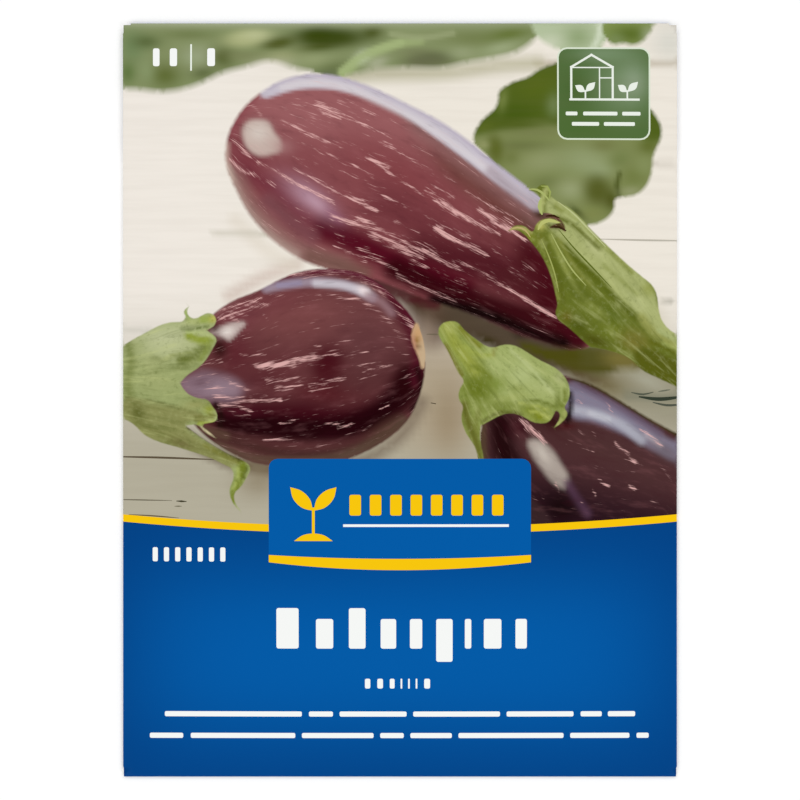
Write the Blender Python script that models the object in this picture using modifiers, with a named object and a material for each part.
"""A sealed paper seed packet lying on its back.

One folded sheet of coated paper makes the front panel, the back panel, two side flaps and the
top flap. It is glued along both sides and under its top flap. Inside is a heat-sealed foil
sachet, which holds the seeds.

Metres, +Z up. +X runs to the right of the printed front, +Y to the packet's top edge and +Z out
of the front. The origin is under the packet's middle, on the surface that it lies on.
"""

import math
import random

import bmesh
import bpy
from mathutils import Matrix, Vector

MM = 0.001

# The folded sheet.
PACKET_WIDTH = 117.6 * MM
PACKET_HEIGHT = 160.0 * MM
PAPER = 0.12 * MM
PILLOW = 2.7 * MM  # how far the filled front stands above its own edges
SIDE_FLAP_WIDTH = 12.0 * MM
SIDE_FLAP_NOTCH = 1.6 * MM  # each side flap stops this far from the corners
SIDE_FLAP_SLANT = 3.0 * MM  # its ends are cut at a slant, over this length
TOP_FLAP_LENGTH = 22.0 * MM
TOP_FLAP_INSET = 1.5 * MM  # the top flap is this much narrower than the packet at each side
BACK_PANEL_SHORT = 1.2 * MM  # the back panel stops this far below the top fold
RAMP_LENGTH = 6.0 * MM  # the back climbs onto the top flap over this length
RAMP_LEAD = 2.0 * MM  # and has climbed this far before the flap's free edge

# The glue lines.
GLUE = 0.06 * MM
SIDE_GLUE_WIDTH = 6.0 * MM
SIDE_GLUE_MARGIN = 6.0 * MM  # each side glue line stops this far inside its flap's ends
TOP_GLUE_WIDTH = 9.0 * MM
TOP_GLUE_MARGIN = 8.0 * MM
JOINT_GAP = 0.06 * MM  # clearance between layers that the glue joins

# The foil sachet, which fits between the side flaps, the bottom fold and the ramp.
SACHET_SIDE_ROOM = 6.5 * MM  # from each side flap's free edge to the sachet
SACHET_FOOT_ROOM = 14.5 * MM  # from the bottom fold to the sachet
SACHET_HEAD_ROOM = 8.0 * MM  # from the sachet to the ramp
SACHET_FACE_ROOM = 0.8 * MM  # how much less the sachet's front rises than the packet's
SACHET_SEAL = 6.0 * MM  # width of the heat seal round its edge
FILM = 0.08 * MM
REST_GAP = 0.2 * MM  # clearance under a piece that lies on another

# The seeds.
SEED_COUNT = 15
SEED_LENGTH = 3.2 * MM
SEED_WIDTH = 2.7 * MM
SEED_THICKNESS = 0.9 * MM
SEED_NOTCH = 0.35 * MM  # depth of the dent where the seed was attached
SEED_GAP = 0.5 * MM  # least clearance between two seeds
SEED_NUDGE = 0.9 * MM  # how far a seed may lie off its place in the spiral
SEED_POOL_HEIGHT = 40.0 * MM  # middle of the seeds, above the sachet's lower edge
SPIRAL_CLOSEST = 1.54  # a golden-angle spiral's closest two places, over its pitch

# Mesh steps.
COLUMN_STEP = 5.5 * MM
ROW_STEP = 6.0 * MM
FOLD_STEPS = 4
TOLERANCE = 0.01 * MM  # for telling which row or column a vertex is in

# Heights of the layers' middle planes, from the surface up.
LAYER_PITCH = PAPER / 2 + JOINT_GAP + GLUE / 2
BACK_Z = PAPER / 2
GLUE_Z = BACK_Z + LAYER_PITCH
FLAP_Z = GLUE_Z + LAYER_PITCH
FRONT_Z = FLAP_Z + PAPER + JOINT_GAP
TOP_LIFT = 2 * LAYER_PITCH  # what the top flap and its glue raise the layers above them by

# The front panel's flat outline, inside its folds.
SIDE_FOLD_RADIUS = (FRONT_Z - FLAP_Z) / 2
BOTTOM_FOLD_RADIUS = (FRONT_Z - BACK_Z) / 2
TOP_FOLD_RADIUS = (FRONT_Z + TOP_LIFT - BACK_Z) / 2
PANEL_RIGHT = PACKET_WIDTH / 2 - SIDE_FOLD_RADIUS - PAPER / 2
PANEL_BOTTOM = -PACKET_HEIGHT / 2 + BOTTOM_FOLD_RADIUS + PAPER / 2
PANEL_TOP = PACKET_HEIGHT / 2 - TOP_FOLD_RADIUS - PAPER / 2
TOP_FLAP_EDGE = PANEL_TOP - TOP_FLAP_LENGTH
RAMP_TOP = TOP_FLAP_EDGE - RAMP_LEAD
RAMP_BOTTOM = RAMP_TOP - RAMP_LENGTH

# The sachet's place.
SACHET_BACK_Z = PAPER + REST_GAP + FILM / 2
SACHET_FRONT_Z = SACHET_BACK_Z + FILM + JOINT_GAP
SACHET_WIDTH = 2 * (PANEL_RIGHT - SIDE_FLAP_WIDTH - SACHET_SIDE_ROOM)
SACHET_BOTTOM = PANEL_BOTTOM + SACHET_FOOT_ROOM
SACHET_TOP = RAMP_BOTTOM - SACHET_HEAD_ROOM
SACHET_HEIGHT = SACHET_TOP - SACHET_BOTTOM
SACHET_Y = (SACHET_BOTTOM + SACHET_TOP) / 2


def clear_scene():
    for obj in list(bpy.data.objects):
        bpy.data.objects.remove(obj)


def make_collection(name):
    collection = bpy.data.collections.new(name)
    bpy.context.scene.collection.children.link(collection)
    return collection


def make_material(name, colour, roughness, metallic=0.0):
    material = bpy.data.materials.new(name)
    material.use_nodes = True
    shader = material.node_tree.nodes["Principled BSDF"]
    shader.inputs["Base Color"].default_value = (*colour, 1.0)
    shader.inputs["Roughness"].default_value = roughness
    shader.inputs["Metallic"].default_value = metallic
    return material


def add_object(name, bm, material, collection):
    mesh = bpy.data.meshes.new(name)
    bm.to_mesh(mesh)
    bm.free()
    mesh.materials.append(material)
    obj = bpy.data.objects.new(name, mesh)
    collection.objects.link(obj)
    return obj


def thicken(obj, thickness):
    """Solidify about the middle surface."""
    solidify = obj.modifiers.new("sheet", "SOLIDIFY")
    solidify.thickness = thickness
    solidify.offset = 0.0
    solidify.use_even_offset = True


def between(low, high, step):
    """Even places from low to high, at most about a step apart, with both ends."""
    count = max(1, round((high - low) / step))
    return [low + (high - low) * i / count for i in range(count + 1)]


def panel_columns():
    inner = PANEL_RIGHT - TOP_FLAP_INSET
    return [-PANEL_RIGHT, *between(-inner, inner, COLUMN_STEP), PANEL_RIGHT]


def panel_rows():
    """Rows of the sheet, which every layer shares, so that all of them climb the ramp alike."""
    flap_bottom = PANEL_BOTTOM + SIDE_FLAP_NOTCH
    flap_top = PANEL_TOP - SIDE_FLAP_NOTCH
    below = between(flap_bottom, RAMP_BOTTOM, ROW_STEP)
    above = between(RAMP_TOP, flap_top, ROW_STEP)
    return [PANEL_BOTTOM, *below, *above, PANEL_TOP]


def lift(y):
    """How far the layers over the top flap are raised at this height on the packet."""
    share = (y - RAMP_BOTTOM) / (RAMP_TOP - RAMP_BOTTOM)
    return TOP_LIFT * min(1.0, max(0.0, share))


def pillow(x, y):
    """The filled front's rise above its edges: a shallow dome with straight edges."""
    across = 1 - (x / PANEL_RIGHT) ** 2
    middle = (PANEL_TOP + PANEL_BOTTOM) / 2
    along = 1 - ((y - middle) / ((PANEL_TOP - PANEL_BOTTOM) / 2)) ** 2
    return PILLOW * across * along


def grid(columns, rows, height):
    """A bmesh grid at these columns and rows, with z from height(x, y)."""
    bm = bmesh.new()
    across, along = len(columns) - 1, len(rows) - 1
    bmesh.ops.create_grid(bm, x_segments=across, y_segments=along, size=0.5)
    for vert in bm.verts:
        x = columns[round((vert.co.x + 0.5) * across)]
        y = rows[round((vert.co.y + 0.5) * along)]
        vert.co = (x, y, height(x, y))
    return bm


def unroll(bm, verts, route):
    """Extrudes the edges between these boundary verts once for each function of the route.

    Each function gives a new vertex's place from that of the vertex it began at.
    """
    starts = {vert: vert.co.copy() for vert in verts}
    for place in route:
        edges = [e for e in bm.edges if e.is_boundary and set(e.verts) <= set(starts)]
        made = bmesh.ops.extrude_edge_only(bm, edges=edges)["geom"]
        new_edges = [g for g in made if isinstance(g, bmesh.types.BMEdge)]
        before = dict(starts)
        starts = {}
        for edge in (e for e in new_edges if not set(e.verts) & set(before)):
            for vert in edge.verts:
                old = next(e.other_vert(vert) for e in vert.link_edges
                           if e.other_vert(vert) in before)
                starts[vert] = before[old]
        for vert, start in starts.items():
            vert.co = place(start)


def fold(radius, outward):
    """The route round a half-turn fold under the sheet, towards outward, a unit (x, y)."""
    def step(angle):
        reach = radius * math.sin(angle)
        drop = radius * (1 - math.cos(angle))
        return lambda p: (p.x + outward[0] * reach, p.y + outward[1] * reach, p.z - drop)

    return [step(math.pi * i / FOLD_STEPS) for i in range(1, FOLD_STEPS + 1)]


def side_flap_route(side):
    """Round the side fold and inwards. The flap's two end corners are cut at a slant."""
    ends = (PANEL_BOTTOM + SIDE_FLAP_NOTCH, PANEL_TOP - SIDE_FLAP_NOTCH)

    def free_edge(p):
        cut = next((s for s, y in ((1, ends[0]), (-1, ends[1])) if abs(p.y - y) < TOLERANCE), 0)
        y = p.y + cut * SIDE_FLAP_SLANT
        return (side * (PANEL_RIGHT - SIDE_FLAP_WIDTH), y, FLAP_Z + lift(y))

    return [*fold(SIDE_FOLD_RADIUS, (side, 0)), free_edge]


def back_panel_route():
    """Round the bottom fold and up the back, over the ramp, to just below the top fold."""
    def row(y):
        return lambda p: (p.x, y, BACK_Z + lift(y))

    last = PANEL_TOP - BACK_PANEL_SHORT
    rows = [y for y in panel_rows()[1:-1] if y < last]
    return [*fold(BOTTOM_FOLD_RADIUS, (0, -1)), *map(row, rows), row(last)]


def top_flap_route():
    """Round the top fold and down the outside of the back."""
    return [
        *fold(TOP_FOLD_RADIUS, (0, 1)),
        lambda p: (p.x, TOP_FLAP_EDGE, BACK_Z),
    ]


def make_packet(material, collection):
    """The folded sheet: the front panel first, then what each of its edges folds into."""
    bm = grid(panel_columns(), panel_rows(), lambda x, y: FRONT_Z + lift(y) + pillow(x, y))
    flap_low = PANEL_BOTTOM + SIDE_FLAP_NOTCH - TOLERANCE
    flap_high = PANEL_TOP - SIDE_FLAP_NOTCH + TOLERANCE
    flap_right = PANEL_RIGHT - TOP_FLAP_INSET + TOLERANCE
    panel = list(bm.verts)
    bottom = [v for v in panel if v.co.y < PANEL_BOTTOM + TOLERANCE]
    top = [v for v in panel if v.co.y > PANEL_TOP - TOLERANCE and abs(v.co.x) < flap_right]
    unroll(bm, bottom, back_panel_route())
    unroll(bm, top, top_flap_route())
    for side in (-1, 1):
        edge = [v for v in panel if side * v.co.x > PANEL_RIGHT - TOLERANCE
                and flap_low < v.co.y < flap_high]
        unroll(bm, edge, side_flap_route(side))
    obj = add_object("paper_packet", bm, material, collection)
    thicken(obj, PAPER)


def make_side_glue(name, side, material, collection):
    """The glue line between a side flap and the back panel."""
    middle = side * (PANEL_RIGHT - SIDE_FLAP_WIDTH / 2)
    low = PANEL_BOTTOM + SIDE_FLAP_NOTCH + SIDE_GLUE_MARGIN
    high = PANEL_TOP - SIDE_FLAP_NOTCH - SIDE_GLUE_MARGIN
    columns = [middle - SIDE_GLUE_WIDTH / 2, middle + SIDE_GLUE_WIDTH / 2]
    rows = [low, *[y for y in panel_rows() if low < y < high], high]
    bm = grid(columns, rows, lambda x, y: GLUE_Z + lift(y))
    thicken(add_object(name, bm, material, collection), GLUE)


def make_top_glue(material, collection):
    """The glue line between the top flap and the back panel above it."""
    reach = PANEL_RIGHT - TOP_FLAP_INSET - TOP_GLUE_MARGIN
    middle = TOP_FLAP_EDGE + TOP_FLAP_LENGTH / 2
    rows = [middle - TOP_GLUE_WIDTH / 2, middle + TOP_GLUE_WIDTH / 2]
    bm = grid([-reach, reach], rows, lambda x, y: GLUE_Z)
    thicken(add_object("top_flap_glue", bm, material, collection), GLUE)


def puff(x, y):
    """The sachet's front film above its seal: flat-topped, and nothing on the seal itself."""
    across = abs(x) / (SACHET_WIDTH / 2 - SACHET_SEAL)
    along = abs(y - SACHET_Y) / (SACHET_HEIGHT / 2 - SACHET_SEAL)
    if across >= 1 or along >= 1:
        return 0.0
    return (PILLOW - SACHET_FACE_ROOM) * (1 - across**4) * (1 - along**4)


def sachet_places(middle, size):
    """Places across or along the sachet: its edge, its seal and even steps between."""
    pouch = size / 2 - SACHET_SEAL
    inner = between(middle - pouch, middle + pouch, ROW_STEP)
    return [middle - size / 2, *inner, middle + size / 2]


def make_sachet(material, collection):
    columns = sachet_places(0.0, SACHET_WIDTH)
    rows = sachet_places(SACHET_Y, SACHET_HEIGHT)
    edges_x = [columns[0], columns[-1]]
    edges_y = [rows[0], rows[-1]]
    back = grid(edges_x, edges_y, lambda x, y: SACHET_BACK_Z)
    thicken(add_object("sachet_back_film", back, material, collection), FILM)
    front = grid(columns, rows, lambda x, y: SACHET_FRONT_Z + puff(x, y))
    thicken(add_object("sachet_front_film", front, material, collection), FILM)


def seed_mesh():
    """A flat, kidney-shaped seed with a dent at +X, its length along Y."""
    bm = bmesh.new()
    bmesh.ops.create_uvsphere(bm, u_segments=14, v_segments=6, radius=1.0)
    for vert in bm.verts:
        x, y, z = vert.co
        dent = math.exp(-((y / 0.32) ** 2)) * max(0.0, x) ** 2
        vert.co.x = x * SEED_WIDTH / 2 - dent * SEED_NOTCH
        vert.co.y = y * SEED_LENGTH / 2
        vert.co.z = math.copysign(abs(z) ** 0.8, z) * SEED_THICKNESS / 2
    mesh = bpy.data.meshes.new("seed")
    bm.to_mesh(mesh)
    bm.free()
    return mesh


def seed_places():
    """Places and turns of the seeds: a golden-angle spiral, with each seed nudged off it."""
    draw = random.Random(7)
    middle = Vector((0, SACHET_BOTTOM + SEED_POOL_HEIGHT, 0))
    middle.z = SACHET_BACK_Z + FILM / 2 + REST_GAP + SEED_THICKNESS / 2
    pitch = (SEED_LENGTH + SEED_GAP + 2 * SEED_NUDGE) / SPIRAL_CLOSEST
    golden_angle = math.pi * (3 - math.sqrt(5))
    for i in range(SEED_COUNT):
        spiral = Matrix.Rotation(golden_angle * i, 3, "Z") @ Vector((pitch * math.sqrt(i + 0.5), 0, 0))
        nudge_turn = Matrix.Rotation(draw.uniform(0, 2 * math.pi), 3, "Z")
        nudge = nudge_turn @ Vector((draw.uniform(0, SEED_NUDGE), 0, 0))
        yield middle + spiral + nudge, draw.uniform(0, 2 * math.pi)


def make_seeds(material, collection):
    mesh = seed_mesh()
    mesh.materials.append(material)
    mesh.shade_smooth()
    for number, (place, turn) in enumerate(seed_places(), start=1):
        seed = bpy.data.objects.new(f"seed_{number:02d}", mesh)
        seed.location = place
        seed.rotation_euler.z = turn
        collection.objects.link(seed)


def main():
    clear_scene()
    parts = make_collection("seed_packet")
    paper = make_material("printed_paper", (0.10, 0.20, 0.42), roughness=0.45)
    glue = make_material("glue", (0.85, 0.82, 0.72), roughness=0.5)
    foil = make_material("foil_laminate", (0.78, 0.79, 0.80), roughness=0.32, metallic=0.8)
    seed = make_material("seed_coat", (0.66, 0.50, 0.27), roughness=0.7)
    make_packet(paper, parts)
    make_side_glue("left_seam_glue", -1, glue, parts)
    make_side_glue("right_seam_glue", 1, glue, parts)
    make_top_glue(glue, parts)
    make_sachet(foil, parts)
    make_seeds(seed, parts)


main()
